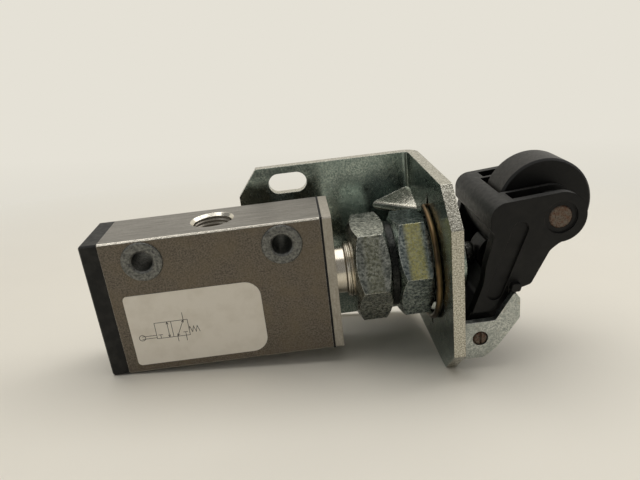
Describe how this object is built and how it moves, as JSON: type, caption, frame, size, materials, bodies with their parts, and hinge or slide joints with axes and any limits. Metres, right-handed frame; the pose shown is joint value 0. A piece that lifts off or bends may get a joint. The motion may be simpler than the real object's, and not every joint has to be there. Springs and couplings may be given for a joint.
{
  "type": "roller lever pneumatic valve",
  "caption": "Roller-lever pneumatic valve with a threaded neck and hexagon nuts, on a slotted L-shaped sheet-metal bracket.",
  "frame": {"origin": "middle of the bracket's two slots, on the outer face of the bracket's leg, at the height of the valve's axis", "axes": "+X along the valve's axis towards the roller, +Y out of the bracket's mounting face, +Z towards the outlet port"},
  "size_m": [0.1136, 0.042, 0.0443],
  "materials": {
    "die_cast": "tumbled grey-brown die casting",
    "bush_steel": "matt light grey steel",
    "black_plastic": "matt black moulding",
    "seal_rubber": "black nitrile",
    "screw_steel": "plain steel",
    "plate_alloy": "pale matt alloy",
    "label_film": "off-white film",
    "spring_steel": "drawn spring wire",
    "spool_alloy": "turned",
    "plunger_steel": "ground steel",
    "neck_plate": "bright nickel plate",
    "zinc_plate": "bluish zinc plate",
    "dark_steel": "blackened steel",
    "clip_wire": "straw-coloured spring wire",
    "carrier_zinc": "pale mottled zinc plate",
    "pin_steel": "plain steel with brown rust",
    "lever_plastic": "black glass-filled nylon",
    "roller_plastic": "dark grey nylon"
  },
  "bodies": {
    "valve": {"valve_body": "die_cast", "mounting_bushes": "bush_steel", "end_cap": "black_plastic", "cap_seal": "seal_rubber", "cap_screws": "screw_steel", "end_gasket": "seal_rubber", "end_plate": "plate_alloy", "plate_screws": "screw_steel", "label": "label_film", "return_spring": "spring_steel", "wiper_seal": "seal_rubber", "threaded_neck": "neck_plate", "lock_nut": "zinc_plate", "spacer_washer": "dark_steel", "clamp_nut": "zinc_plate", "tooth_washer": "dark_steel", "mounting_bracket": "zinc_plate", "wire_clip": "clip_wire", "lever_carrier": "carrier_zinc", "ring_nut": "zinc_plate", "pivot_pin": "pin_steel"},
    "lever": {"lever_arm": "lever_plastic", "roller_pin": "pin_steel"},
    "roller": {"roller": "roller_plastic"},
    "stem": {"plunger": "plunger_steel", "spool": "spool_alloy", "spool_seals": "seal_rubber"}
  },
  "joints": [
    {"name": "lever_pivot", "type": "hinge", "parent": "valve", "child": "lever", "pos_m": [0.0389, -0.021, -0.0143], "axis": [0, -1, 0], "range_deg": [0, 11], "stiffness_Nm_per_rad": 0.5, "springref_deg": -17.19},
    {"name": "roller_spin", "type": "hinge", "parent": "lever", "child": "roller", "pos_m": [0.0571, -0.021, 0.0115], "axis": [0, -1, 0], "continuous": true},
    {"name": "plunger_slide", "type": "slide", "parent": "valve", "child": "stem", "axis": [-1, 0, 0], "range_m": [0, 0.00297], "deforming": ["return_spring"]}
  ],
  "couplings": [
    {"joint": "plunger_slide", "follows": "lever_pivot", "m_per_rad": 0.0154}
  ]
}
